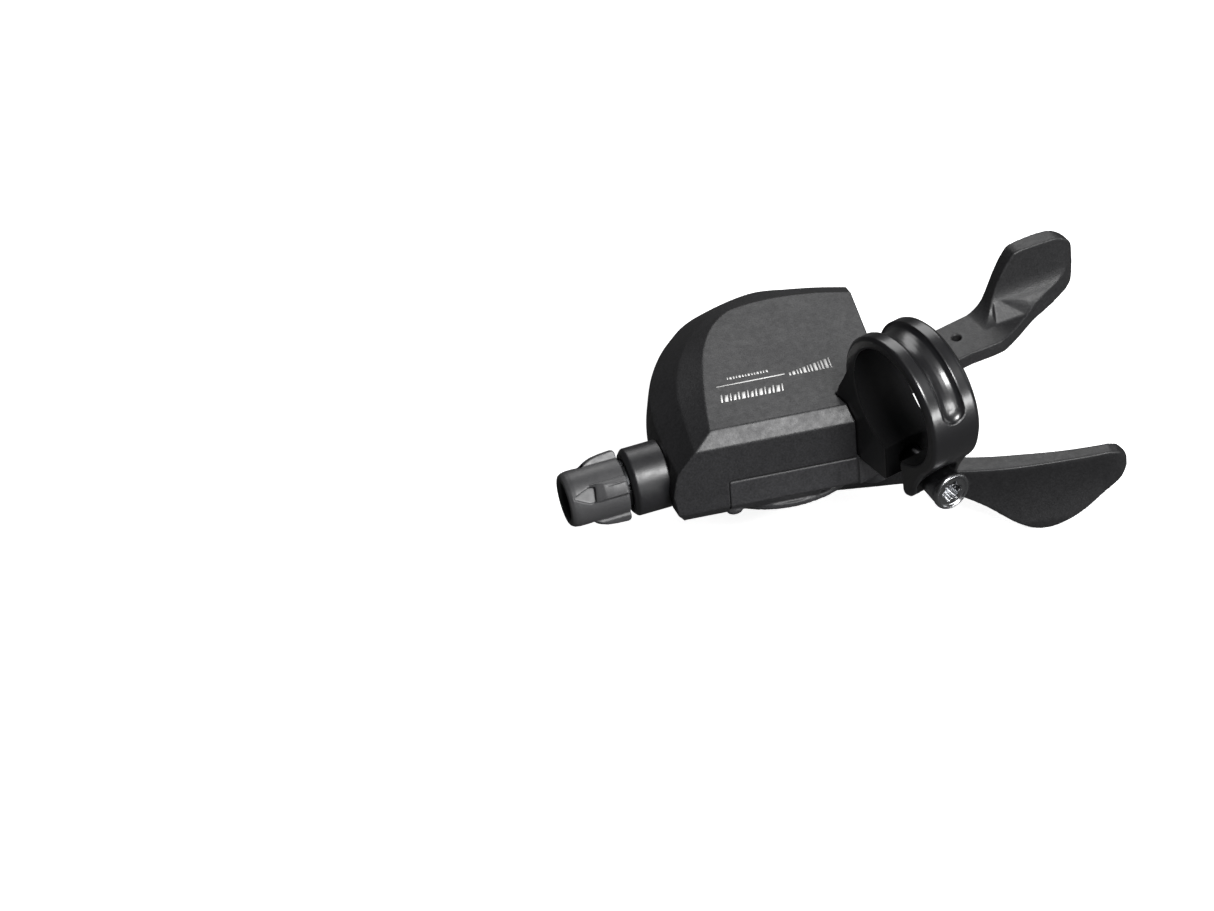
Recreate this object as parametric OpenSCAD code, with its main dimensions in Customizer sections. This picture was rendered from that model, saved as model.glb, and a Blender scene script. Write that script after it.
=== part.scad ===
// Trigger-type thumb shifter for the right-hand side of a flat handlebar.
// Frame: the origin is the centre of the handlebar clamp bore. X runs along the
// handlebar towards its free end, Y points forward, away from the rider, and Z
// is up, square to the flat top of the cover. All lengths are in millimetres.

/* [Handlebar clamp] */
// Diameter of the handlebar that the clamp fits
bar_d = 22.2; // [22.2:0.1:22.4]
// How much wider than the bar the open bore is
bar_clearance = 0.1; // [0.05:0.05:0.2]
// Width of the clamp band along the bar
clamp_w = 10; // [9:0.5:10]
// Wall of the clamp band
clamp_wall = 2.25; // [2:0.05:2.6]
// Height of the clamp screw's axis
clamp_screw_z = -14.8; // [-15.2:0.1:-14.6]
// Depth of the groove round the band
groove_depth = 1.0; // [0.6:0.1:1.2]

/* [Casing] */
// Wall of the casing shells
shell_t = 1.8; // [1.6:0.1:2]
// Thickness of the cover's top
top_t = 2; // [1.6:0.1:2.2]
// Angle between the casing's straight edge and the handlebar
pod_yaw = 20.87; // [20:0.01:22]
// Clearance between fitted parts that do not move
gap = 0.1; // [0.05:0.01:0.15]

/* [Ratchet] */
// Number of teeth round the ratchet wheel
teeth = 16; // [16:1:16]
// Radius over the teeth
tip_r = 9.8; // [9.6:0.05:9.9]
// Radius at the root of the teeth
root_r = 8.7; // [8.5:0.05:8.8]
// Radius at which the cable lies on the drum
cable_r = 9.0; // [8.8:0.1:9.2]

/* [Levers] */
// Thickness of the trigger's arm
trigger_t = 2.7; // [2.4:0.1:2.8]

/* [Barrel adjuster] */
// Radius of the cable stop's neck
neck_r = 6.15; // [5.6:0.05:6.3]
// Radius of the socket for the cable housing's end cap
socket_r = 2.55; // [2.5:0.01:2.6]
// Radius of the knob at its free end
knob_r = 5; // [4.7:0.05:5.1]

/* [Hidden] */
$fn = 64;

// ---- places and frames ------------------------------------------------------
// The casing's frame: U along its straight edge, V away from the bar, W up.
pod_at = [-28.4, 22.65, -8.19];
// [U, V] of the main axle, the two pivot pins and the cover screws
axle = [14, 17];
trigger_pin = [27, 21.5];
pawl_pin = [24.5, 31.5];
screws = [[0.1, 27.6], [7.9, 36], [29.2, 35]];
// the drive pawl's pin, from the main axle
drive_pin_r = 13.9;
drive_pin_a = 157.5;
// [V, W] of the cable entry in the outboard wall
entry_at = [10.9, -14.4];
// the neck's base, its swing about the vertical and its droop
neck_at = [-8, 6.2, -12.8];
neck_yaw = 4.5;
neck_drop = 2.5;
// Y of the screw that fixes the casing to the clamp
fixing_y = 14.4;

module up(z) translate([0, 0, z]) children();
module turn(a) rotate([0, 0, a]) children();
module pod() translate(pod_at) turn(-pod_yaw) children();
module at(place, w) pod() translate([place[0], place[1], w]) children();
module on_axle(w) at(axle, w) children();
module on_drive_pin(w) on_axle(w) turn(drive_pin_a) translate([drive_pin_r, 0, 0]) children();
module at_screws(w) for (place = screws) at(place, w) children();
module on_entry(u) pod() translate([u, entry_at[0], entry_at[1]]) rotate([0, 90, 0]) children();
// the adjuster's axis, running inboard from the neck's base
module barrel(z = 0) pod() translate(neck_at) turn(neck_yaw)
    rotate([0, -90 - neck_drop, 0]) up(z) children();
module along_bar(x) rotate([0, 90, 0]) up(x) children();
// the clamp screw's axis, running towards the rider
module on_clamp_screw(y) translate([0, y, clamp_screw_z]) rotate([90, 0, 0]) children();
module on_fixing_screw(z) translate([0, fixing_y, z]) children();

// ---- solids and curves ------------------------------------------------------
// a slab between two heights of the casing's frame
module slab(bottom, top) at([0, 0], bottom) linear_extrude(top - bottom) children();
// a shape given in the bar's cross-section (Y, Z), centred on the band
module across(w = clamp_w) rotate([90, 0, 90]) up(-w / 2) linear_extrude(w) children();
// a shape given in a plane of X and Z, from y back by depth
module upright(y, depth) translate([0, y, 0]) rotate([90, 0, 0]) linear_extrude(depth) children();
module ring(outer, inner, h) difference() {
    cylinder(r = outer, h = h);
    up(-1) cylinder(r = inner, h = h + 2);
}

function polar(r, a) = [r * cos(a), r * sin(a)];
function unit(v) = v / norm(v);
// Catmull-Rom spline between b and c, with neighbours a and d
function spline(a, b, c, d, t) = 0.5 * (2 * b + (c - a) * t
    + (2 * a - 5 * b + 4 * c - d) * t * t + (3 * b - a - 3 * c + d) * t * t * t);
// smooth curve through the points, with a number of steps to each span
function curve(points, steps) = let (last = len(points) - 1) concat(
    [for (i = [0 : last - 1]) for (k = [0 : steps - 1])
        spline(points[max(i - 1, 0)], points[i], points[i + 1],
               points[min(i + 2, last)], k / steps)],
    [points[last]]);
// a closed clockwise outline moved inwards
function inset(points, depth) = let (n = len(points)) [for (i = [0 : n - 1])
    let (here = points[i],
         before = unit(here - points[(i + n - 1) % n]),
         after = unit(points[(i + 1) % n] - here),
         normal_a = [before[1], -before[0]],
         normal_b = [after[1], -after[0]])
    here + depth * (normal_a + normal_b) / (1 + normal_a * normal_b)];
function lift(points, w) = [for (p = points) [p[0], p[1], w]];

// skin over rings that all have the same number of points
module loft(rings) {
    n = len(rings[0]);
    m = len(rings);
    polyhedron(points = [for (r = rings) each r], faces = concat(
        [[for (i = [0 : n - 1]) i]],
        [[for (i = [0 : n - 1]) (m - 1) * n + n - 1 - i]],
        [for (k = [0 : m - 2]) for (i = [0 : n - 1]) let (j = (i + 1) % n)
            each [[k * n + i, (k + 1) * n + i, (k + 1) * n + j],
                  [k * n + i, (k + 1) * n + j, k * n + j]]]), convexity = 6);
}
// a bent wire of six-sided section along a path that is nowhere upright
module wire(path, r) {
    last = len(path) - 1;
    loft([for (i = [0 : last])
        let (along = unit(path[min(i + 1, last)] - path[max(i - 1, 0)]),
             side = unit(cross(along, [0, 0, 1])),
             other = cross(along, side))
        [for (k = [0 : 5]) path[i] + r * (cos(k * 60) * side + sin(k * 60) * other)]]);
}
function coil(r, rise, turns, steps) = [for (i = [0 : turns * steps])
    [r * cos(i * 360 / steps), r * sin(i * 360 / steps), rise * i / (turns * steps)]];

// ---- casing -----------------------------------------------------------------
// Five outlines of the casing, top to bottom, as [U, V]. Each curved side runs
// from the inboard corner of the straight edge round the nose and the front to
// the outboard end; the single point after it is the outboard corner.
side_steps = 2;
outlines = [
    concat(curve([[0, 0], [1, 7], [2.5, 15], [4, 21], [6, 25.8], [8.5, 29.2],
        [12, 31.5], [19, 32.3], [26.5, 31.6], [33.2, 29.9]], side_steps), [[33.2, 0]]),
    concat(curve([[-3.5, -2.4], [-3.2, 6], [-2.6, 14], [-0.7, 21.3], [2.1, 26.95], [5.5, 31.45],
        [10.15, 34.95], [18.5, 37.1], [26.4, 36.2], [33.4, 34.3]], side_steps), [[33.4, -2.4]]),
    concat(curve([[-6.8, -2.4], [-7.2, 5], [-7.4, 13], [-6.2, 21.2], [-3.5, 28.05], [0.4, 33.85],
        [6.15, 38.95], [17.5, 42.9], [26.1, 41.3], [33.7, 38.8]], side_steps), [[33.7, -2.4]]),
    concat(curve([[-7.7, -2.4], [-8.4, 5], [-8.5, 13], [-6.9, 21.4], [-4, 28.75], [-0.1, 34.65],
        [5.75, 39.75], [17.5, 43.6], [26.1, 42], [33.9, 39.2]], side_steps), [[33.9, -2.4]]),
    concat(curve([[-7, -2.4], [-8, 5], [-8.2, 13], [-6.7, 21.4], [-3.9, 28.65], [-0.1, 34.55],
        [5.75, 39.55], [17.5, 43.3], [26.1, 41.7], [34, 39]], side_steps), [[34, -2.4]])];
floor_w = -18.6;          // underside of the casing
floor_in = shell_t + 0.4; // the floor plate's distance inside the casing's side
boss_w = -20.2;           // underside of the boss round the main axle

// stations: [outline, inset, height]
module stack(stations) loft([for (s = stations) lift(inset(outlines[s[0]], s[1]), s[2])]);
module envelope() stack([[0, 0, 0], [1, 0, -2.4], [2, 0, -6.9], [3, 0, -12],
    [4, 0, -16.2], [4, 1.5, floor_w]]);
module cavity() stack([[0, 0.8, -top_t], [1, 2.2, -2 - top_t], [2, shell_t + 0.2, -8],
    [3, shell_t, -12], [4, shell_t, -16],
    [4, floor_in - gap, -17.3], [4, floor_in - gap, floor_w - 1]]);
// the corner of the casing that the clamp's foot fills, widened by a margin
module clamp_corner(margin, z) translate([-clamp_w / 2 - margin, -20, z])
    cube([60, 37.5 + margin, 60]);

module upper_cover() color("#33353a") difference() {
    union() {
        difference() {
            pod() envelope();
            difference() {
                pod() cavity();
                clamp_corner(shell_t + gap, -21.4);
            }
        }
        // posts for the cover screws
        intersection() {
            pod() envelope();
            at_screws(-17.3) cylinder(r = 2.2, h = 16.2);
        }
        // rim round the cable entry
        on_entry(32.6) cylinder(r = 3.5, h = 2);
        // inner pad behind the cable stop
        barrel(-3.2) intersection() {
            cylinder(r = 5.6, h = 2.6);
            translate([-4.2, -8, -1]) cube([16, 16, 6]);
        }
    }
    clamp_corner(gap, -40);
    // window in the lower part of the straight side, filled by the lower case
    slab(-19.6, -10.6) translate([2.4, -4]) square([60, 4.6]);
    // slot for the trigger
    slab(-17.45, -13.9) translate([29.5, 14.1]) square([8, 12.1]);
    on_entry(28) cylinder(r = 2.7, h = 10);
    // seat and hole of the cable stop
    barrel(-0.35) cylinder(r = neck_r + gap, h = 12);
    barrel(-8) cylinder(r = 4.1, h = 12);
    at_screws(-18) cylinder(r = 1.1, h = 6);
}

// tab under the clamp's foot: its rear lower edge
tab_y = 10.8;
tab_z = -26.9;
module foot_tab() difference() {
    translate([-clamp_w / 2 - gap, tab_y, tab_z]) cube([clamp_w + 1.6, 8.4, 8.3]);
    // chamfer along the rear lower edge
    translate([-20, tab_y, tab_z]) rotate([45, 0, 0])
        translate([0, -1.6, -1.6]) cube([40, 3.2, 3.2]);
    // room for the cover's inner corner
    translate([-20, 17.5, -21.5]) cube([60, 10, 10]);
    translate([3.7, 17.5, -30]) cube([20, 10, 12]);
    // the tab's outboard side follows the casing's outboard wall
    slab(-30, 0) translate([35.2, -20]) square([20, 60]);
}
module lower_case() color("#303236") difference() {
    union() {
        // floor plate inside the cover's edge
        difference() {
            slab(floor_w, -17.4) polygon(inset(outlines[4], floor_in));
            clamp_corner(gap, -60);
        }
        // wall that fills the window
        intersection() {
            pod() envelope();
            difference() {
                slab(floor_w, -10.7) translate([2.5, -4]) square([40, 5]);
                slab(-17.4, -10) translate([2, -0.6]) square([60, 6]);
            }
            translate([-100 - clamp_w / 2 - gap, -50, -60]) cube([100, 100, 60]);
        }
        // round boss with a stepped lower edge
        difference() {
            on_axle(boss_w) cylinder(r = 18.7, h = floor_w - boss_w - 0.05);
            on_axle(boss_w) up(-0.1) ring(20, 18.1, 0.7);
        }
        foot_tab();
    }
    // recess for the base plate, and the hole for the lever's collar
    on_axle(floor_w) cylinder(r = 16.3, h = 3);
    on_axle(-25) cylinder(r = 6.4, h = 10);
    at_screws(-22) cylinder(r = 1.4, h = 8);
    at_screws(-20.4) cylinder(r = 2.1, h = 1.85);
    at(pawl_pin, -22) cylinder(r = pivot_hole_r, h = 8);
    // clamp fixing screw: clearance hole and spot face
    on_fixing_screw(-40) cylinder(r = 2.1, h = 30);
    on_fixing_screw(-40) cylinder(r = 3.3, h = 40 - 24.6);
}

// ---- clamp ------------------------------------------------------------------
bore_r = (bar_d + bar_clearance) / 2;
band_r = bore_r + clamp_wall;
band_fn = 128;
split_rear = -2.1;
split_front = 2.3;
// [Y, Z] of the foot that bolts to the casing, in front of the split
foot = [[split_front, -9], [split_front, -17.7], [2.9, -18.4], [10.3, -18.9], [10.6, -18.1],
    [17.4, -18.1], [17.4, -8.6], [16.4, -5.9], [14.6, -2.6], [12.6, 1.5], [6, 0]];
// [Y, Z] of the ear behind the split
ear = [[split_rear, -9], [split_rear, -17.15], [-2.65, -17.85], [-3.4, -18.05], [-4.4, -17.7],
    [-5.2, -16.6], [-5.9, -14.8], [-7.1, -12.5], [-8.6, -10.3], [-10.4, -7.8],
    [-11.3, -6.2], [-6, -6]];

module clamp_band() color("#17181a") difference() {
    union() {
        along_bar(-clamp_w / 2) cylinder(r = band_r, h = clamp_w, $fn = band_fn);
        across() polygon(foot);
        across() polygon(ear);
        // thickening towards the foot
        translate([0, 0.8, -0.4]) along_bar(-clamp_w / 2)
            cylinder(r = band_r - 0.1, h = clamp_w, $fn = band_fn);
    }
    along_bar(-20) cylinder(r = bore_r, h = 40, $fn = band_fn);
    across(20) polygon([[split_rear, -5], [split_front, -5], [split_front, -30],
        [split_rear, -30]]);
    // groove round the upper part of the band, with a round rear end
    intersection() {
        along_bar(-2.3) difference() {
            cylinder(r = 22, h = 4.6, $fn = band_fn);
            up(-1) cylinder(r = band_r - groove_depth, h = 7, $fn = band_fn);
        }
        across(20) polygon([[0, 0], [29.9, -2.1], [30, 30], [-30, 30], [-28.3, 10.1]]);
    }
    rotate([-20.5, 0, 0]) translate([0, -band_r + groove_depth + 0.1, 0])
        rotate([90, 0, 0]) cylinder(r = 2.35, h = 6);
    // clamp screw: clearance hole and spot face in the ear, thread in the foot
    on_clamp_screw(0) cylinder(r = 2.2, h = 20);
    on_clamp_screw(14) cylinder(r = 2.1, h = 15);
    on_clamp_screw(-4.3) cylinder(r1 = 3.8, r2 = 5, h = 9);
    // thread of the fixing screw
    on_fixing_screw(-22) cylinder(r = 1.95, h = 12.5);
}
module clamp_screw() color("#d5d7da") difference() {
    union() {
        on_clamp_screw(11.5) cylinder(r = 2, h = 18);
        on_clamp_screw(-4.35) rotate_extrude() polygon([[0, 0], [2.9, 0], [3.55, 5.7],
            [3.55, 6.3], [3.2, 6.65], [2.8, 6.2], [0, 6.2]]);
    }
    // six-pointed recess
    on_clamp_screw(-8) for (a = [0, 60, 120]) turn(a)
        translate([-2.05, -0.65, 0]) cube([4.1, 1.3, 8]);
    on_clamp_screw(-8) cylinder(r = 1.55, h = 8);
}
module clamp_fixing_screw() color("#8b8e93") difference() {
    union() {
        on_fixing_screw(-25) cylinder(r = 1.9, h = 14.5);
        on_fixing_screw(-26.8) cylinder(r = 3.2, h = 2.1);
    }
    on_fixing_screw(-28) cylinder(r = 1.5, h = 2.4, $fn = 6);
}

// ---- fixed inner parts ------------------------------------------------------
axle_r = 3;
axle_fit_r = 3.03;    // bore of the nut and the bush
axle_hole_r = 3.05;   // hole in the upper plate and the washer
hub_bore_r = 4.36;    // bore of the parts that turn on the bush
pivot_r = 1.5;        // ends of the two pivot pins
pivot_hole_r = 1.52;
pivot_body_r = 1.6;   // middle of the pivot pins
pivot_bore_r = 1.66;  // bore of the parts that turn on them
pivot_top = -6.3;

module base_plate() color("#a9adb2") difference() {
    on_axle(-18.55) ring(16.1, 6.4, 1.1);
    clamp_corner(gap, -60);
    at(trigger_pin, -20) cylinder(r = pivot_hole_r, h = 4);
    // lightening slots
    for (a = [100, 250]) on_axle(-20) turn(a)
        rotate_extrude(angle = 55) translate([9.4, 0]) square([3.2, 5]);
    slab(-20, -16) translate([0, -3]) square([40, 4.2]);
}
module upper_plate() color("#a9adb2") difference() {
    slab(-7.6, -6.5) union() {
        translate(axle) circle(r = 6.2);
        translate(trigger_pin) circle(r = 3.2);
        translate(pawl_pin) circle(r = 3.2);
        polygon([axle + polar(5.8, 104), axle + polar(5.8, -58),
            trigger_pin + polar(2.8, -50), trigger_pin + polar(2.8, 10),
            pawl_pin + polar(2.8, 10), pawl_pin + polar(2.8, 115)]);
    }
    on_axle(-9) cylinder(r = axle_hole_r, h = 4);
    for (pin = [trigger_pin, pawl_pin]) at(pin, -9) cylinder(r = pivot_hole_r, h = 4);
    // round window between the axle and the pins
    slab(-9, -5) translate([21.6, 22.6]) circle(r = 2.6);
}
module main_axle() color("#b9bcc0") difference() {
    union() {
        on_axle(-25.1) cylinder(r = axle_r, h = 21.4);
        on_axle(-26.9) rotate_extrude()
            polygon([[0, 0], [4.9, 0], [5.6, 0.7], [5.6, 1.9], [0, 1.9]]);
    }
    on_axle(-28) cylinder(r = 2.3, h = 2.6, $fn = 6);
}
module axle_nut() color("#9fa3a8") difference() {
    on_axle(-6.4) cylinder(r = 5.2, h = 2.6, $fn = 6);
    on_axle(-8) cylinder(r = axle_fit_r, h = 6);
}
module axle_bush() color("#b58a4a") on_axle(-24.2) ring(4.3, axle_fit_r, 16.5);
module axle_washer() color("#a9adb2") on_axle(-24.9) ring(6.4, axle_hole_r, 0.65);
module cover_screws() color("#8b8e93") at_screws(0) difference() {
    union() {
        up(-19) cylinder(r = 1.05, h = 6.6);
        up(-19.7) cylinder(r = 1.9, h = 1.08);
    }
    // cross recess
    for (a = [0, 90]) up(-20.5) turn(a) translate([-1.3, -0.25, 0]) cube([2.6, 0.5, 1.4]);
}
module pivot_pin(place, bottom, body_bottom) {
    at(place, bottom) cylinder(r = pivot_r, h = pivot_top - bottom);
    at(place, body_bottom) cylinder(r = pivot_body_r, h = 9.6);
}
module trigger_pivot_pin() color("#c3c6ca") union() pivot_pin(trigger_pin, -18.5, -17.4);
module pawl_pivot_pin() color("#c3c6ca") union() pivot_pin(pawl_pin, -18.4, -17.35);

// ---- barrel adjuster --------------------------------------------------------
module cable_stop() color("#222427") difference() {
    union() {
        barrel(-4.4) cylinder(r = 4, h = 5);
        barrel(-0.3) rotate_extrude()
            polygon([[0, 0], [neck_r, 0], [neck_r, 6.0], [neck_r - 0.9, 6.9], [0, 6.9]]);
    }
    barrel(-9) cylinder(r = 3, h = 20);
    barrel(2.8) cylinder(r = 4.5, h = 10);
}
module adjuster_spring() color("#c3c6ca") barrel(3.3)
    wire(coil(r = 3.78, rise = 2.3, turns = 2.5, steps = 16), r = 0.34);
module detent_ring() color("#d0d2d5") barrel(6.15) difference() {
    ring(4.4, 3.1, 0.95);
    for (a = [0 : 60 : 300]) turn(a) translate([4.4, 0, -1]) cylinder(r = 0.45, h = 4);
}
module adjuster_bolt() color("#c3c6ca") difference() {
    union() {
        barrel(-6) cylinder(r = 2.9, h = 15);
        barrel(8.4) cylinder(r = 3.5, h = 7.2);
    }
    barrel(-7) cylinder(r = 1.1, h = 30);
    barrel(9.6) cylinder(r = socket_r, h = 8);
}
module adjuster_knob() color("#26282b") barrel() difference() {
    union() {
        rotate_extrude() polygon([[0, 7.25], [4.9, 7.25], [5.15, 7.6], [5.15, 11],
            [knob_r, 16.4], [knob_r - 0.3, 17.5], [knob_r - 0.8, 18.1], [0, 18.1]]);
        // four ribs
        intersection() {
            rotate_extrude() polygon([[0, 7.4], [6.1, 7.4], [6.45, 7.9], [6.3, 10.2],
                [6.1, 11.8], [5.6, 13], [4.9, 14.4], [0, 14.4]]);
            for (a = [39, 129]) turn(a) translate([-8, -1.7, 0]) cube([16, 3.4, 20]);
        }
    }
    up(8.35) cylinder(r = 3.55, h = 12);
    up(5) cylinder(r = 3.1, h = 6);
}

// ---- cable drum and ratchet -------------------------------------------------
tooth_pitch = 360 / teeth;
tooth_face = 200;    // angle of the tooth face the drive pawl pushes
tooth_h = tip_r - root_r;
groove_w = -11.85;   // height of the cable groove
groove_r = 0.75;
cable_head_r = 6.9;  // the cable's head, from the main axle
cable_head_a = -62;

module cable_drum() color("#2e6f9e") difference() {
    on_axle(0) rotate_extrude($fn = 96) difference() {
        polygon([[hub_bore_r, -13.7], [10, -13.7], [10, -10.2], [5.3, -10.2],
            [5.3, -7.9], [hub_bore_r, -7.9]]);
        translate([cable_r, groove_w]) circle(r = groove_r);
        translate([cable_r, groove_w - groove_r]) square([3, 2 * groove_r]);
    }
    // pocket for the cable's head, and a window to it
    on_axle(-14) turn(cable_head_a) translate([cable_head_r, 0, 0]) cylinder(r = 1.6, h = 5);
    on_axle(groove_w) turn(cable_head_a)
        translate([cable_head_r, -0.7, -0.7]) cube([6, 1.4, 1.4]);
}
module ratchet_wheel() color("#b9bcc0") difference() {
    slab(-15.8, -13.8) translate(axle) polygon([for (k = [0 : teeth - 1])
        let (a = tooth_face + k * tooth_pitch) each [
            polar(root_r, a), polar(tip_r, a),
            polar(tip_r - tooth_h * 0.33, a + tooth_pitch * 0.33),
            polar(tip_r - tooth_h * 0.66, a + tooth_pitch * 0.66)]]);
    on_axle(-17) cylinder(r = hub_bore_r, h = 5);
    for (k = [0 : 2]) on_axle(-17) turn(k * 120 + 40)
        translate([6.6, 0, 0]) cylinder(r = 1, h = 5);
}
module drum_return_spring() color("#c3c6ca") on_axle(-9.6)
    wire(concat([[9.2, -3.0, 0], [7.6, -1.4, 0]],
        coil(r = 6.5, rise = 1.25, turns = 1.75, steps = 16)), r = 0.42);

// ---- thumb lever ------------------------------------------------------------
lever_w = -24;     // underside of the hub and arm
lever_top = -20.6;
lever_hub_r = 10.6;
arm_join_r = 10;   // radius at which the arm's edges meet the hub
key_a = 40;        // direction of the flats on the collar
// [U, V] of the blade seen from above: the rider's side, then the far side
blade_near = [[36, 3.4], [40, 1.4], [44.7, 0.1], [50, -1.1], [55, -1.9], [63, -2.5],
    [70, -2.7], [73.4, -2.3], [74.8, -1.3]];
blade_far = [[74.9, -0.3], [73.6, 0.2], [70, 0.1], [63, 0.6], [55, 1.9], [50, 2.9],
    [45.5, 4.3], [41.6, 6.6], [38, 10]];
// [U, W] of the blade's tip and lower edge
blade_edge = [[73.2, -21.1], [74.6, -22.7], [74.9, -24.8], [73.8, -27.2], [70.9, -29.6],
    [66.4, -32.9], [61.2, -35.2], [57.3, -35.4], [53.4, -33.6], [48.5, -29.9],
    [44, -26.9], [39, -24.8], [34, lever_w]];
// [U, V] of the arm's two edges
arm_near = [axle + polar(arm_join_r, 265), [22, 5.6], [30, 4.4], [36, 3.4], [40, 1.4], [46, -0.2]];
arm_far = [[41.6, 6.6], [38, 10], [31, 15.4], axle + polar(arm_join_r, 25)];

module key_flats(reach, h) turn(key_a) for (side = [-1, 1])
    translate([-8, side * reach - 3, 0]) cube([16, 6, h]);
module thumb_lever() color("#1d1e20") difference() {
    union() {
        // hub and its collar, which passes up through the casing's floor
        on_axle(lever_w) cylinder(r = lever_hub_r, h = lever_top - lever_w);
        on_axle(lever_w) cylinder(r = 6.1, h = 7.85);
        // arm out to the blade
        slab(lever_w, lever_top) polygon(concat([axle + polar(arm_join_r, 250)],
            curve(arm_near, 3), [[46, 4.2]], curve(arm_far, 3)));
        // blade
        intersection() {
            slab(-40, -20) polygon(concat(curve(blade_near, 3), curve(blade_far, 3)));
            pod() upright(40, 80) polygon(concat([[34, lever_top], [71.6, lever_top]],
                curve(blade_edge, 3)));
        }
    }
    on_axle(-26) cylinder(r = hub_bore_r, h = 14);
    // pocket of the return spring
    on_axle(-22.9) ring(9.4, 6.5, 6);
    on_axle(-17.25) key_flats(reach = 8.2, h = 6);
}
module lever_carrier() color("#a9adb2") difference() {
    on_axle(-17.15) union() {
        cylinder(r = 9.2, h = 1);
        linear_extrude(1) polygon([polar(9, 120),
            polar(drive_pin_r + 1.9, drive_pin_a - 8), polar(drive_pin_r + 2.4, drive_pin_a),
            polar(drive_pin_r + 1.9, drive_pin_a + 8), polar(9, 195)]);
    }
    // hole with two flats for the collar
    on_axle(-19) difference() {
        cylinder(r = 6.15, h = 5);
        up(-1) key_flats(reach = 8.27, h = 8);
    }
    on_drive_pin(-19) cylinder(r = 1.02, h = 5);
}
module lever_return_spring() color("#c3c6ca") on_axle(-22.35)
    wire(coil(r = 7.95, rise = 1.3, turns = 1.6, steps = 18), r = 0.45);

// ---- drive pawl -------------------------------------------------------------
pawl_w = -15.7;  // underside of both pawls
pawl_t = 1.75;
// [radius, angle] about the main axle
drive_pawl_outline = [[8.9, 198.6], [9.2, 194], [10.1, 187], [10.9, 178], [12.1, 163],
    [15.3, 152.5], [15.8, 161], [14.2, 172], [12.6, 184], [11.3, 193], [10.7, 197.6]];

module drive_pawl_pin() color("#c3c6ca") on_drive_pin(-17.1) cylinder(r = 1, h = 4.9);
module drive_pawl() color("#8f9398") difference() {
    union() {
        on_drive_pin(pawl_w) cylinder(r = 2, h = pawl_t);
        on_axle(pawl_w) linear_extrude(pawl_t)
            polygon([for (p = drive_pawl_outline) polar(p[0], p[1])]);
    }
    on_drive_pin(-17) cylinder(r = 1.05, h = 5);
}
module drive_pawl_spring() color("#c3c6ca") on_drive_pin(-13.5)
    wire(concat([[3.3, -1.9, 0], [2.1, -1.1, 0]],
        coil(r = 1.5, rise = 0.95, turns = 2, steps = 12)), r = 0.2);

// ---- release trigger and holding pawl ---------------------------------------
trigger_top = -14.4;              // top of the trigger's hub, in the casing's frame
trigger_w = trigger_top - trigger_t;
arm_z = -22.6 - trigger_t;        // underside of the arm
// [X, Y] of the arm
trigger_arm = [[11, 25.8], [22, 26.1], [30, 26.1], [34, 25.6], [36.3, 25.5], [38.1, 26.0],
    [41.2, 27.3], [43.1, 28.2], [45, 29.1], [45, 35.1], [41, 35.3], [26, 35.3], [18, 34.3],
    [14, 34.2], [8.0, 36.0], [5.4, 36.4], [4.2, 29.8]];
// [X, Y] of the finger pad seen from above: the rider's side, then the front
pad_rear = [[34, 25.6], [36.3, 25.5], [38.1, 26.0], [41.2, 27.3], [43.1, 28.2], [46.2, 29.6],
    [49, 30.3], [52, 30.6], [55, 30.9]];
pad_front = [[55.8, 31.4], [55.8, 32.2], [53.6, 33.7], [50.5, 34.6], [44.5, 35.2],
    [41, 35.3], [34, 35.3]];
// [X, Z] of the pad's edge seen along Y
pad_edge = [[34.4, -22.65], [35.5, -22.55], [36.96, -21.96], [38.3, -20.9], [39.4, -19.1],
    [41.4, -15.2], [43.6, -11.9], [44.9, -11.05], [46.7, -10.9], [50, -10.9], [52.8, -11.1],
    [54.6, -12.1], [55.6, -13.7], [55.85, -15.6], [55.7, -18.6], [55.2, -21.2],
    [54.2, -22.8], [52.2, -23.9], [50, -24.8], [47.5, arm_z], [43.5, arm_z]];
// [across, Z] of the hollow between the arm and the pad
pad_hollow = [[-5.6, -22.9], [-3.6, -22.5], [-1.9, -21.6], [-0.7, -20.2], [-0.15, -18.2], [0, -15]];

// an upright plate that grows out of the arm's front edge
module finger_pad() intersection() {
    up(-27) linear_extrude(20) polygon(concat(curve(pad_rear, 2), curve(pad_front, 2)));
    upright(60, 60) polygon(concat([[34, arm_z]], curve(pad_edge, 2)));
    translate([42, 32.8, 0]) turn(-8.5) across(40) polygon(concat(
        [[-12, -28], [-12, -24.4]], curve(pad_hollow, 2), [[0, -9], [6, -9], [6, -28]]));
}
module release_trigger() color("#1f2023") difference() {
    union() {
        // arm, parallel to the bar
        up(arm_z) linear_extrude(trigger_t) polygon(trigger_arm);
        finger_pad();
        at(trigger_pin, trigger_w) cylinder(r = 3.3, h = trigger_t);
        // finger that lifts the holding pawl
        slab(trigger_w, trigger_top) polygon([[24.2, 22.8], [18.5, 26.6], [18.5, 27.5],
            [20.1, 28.0], [26.4, 25.2], [28, 22]]);
    }
    at(trigger_pin, -20) cylinder(r = pivot_bore_r, h = 10);
    translate([30.25, 31.25, -30]) cylinder(r = 0.8, h = 10);
}
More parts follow.
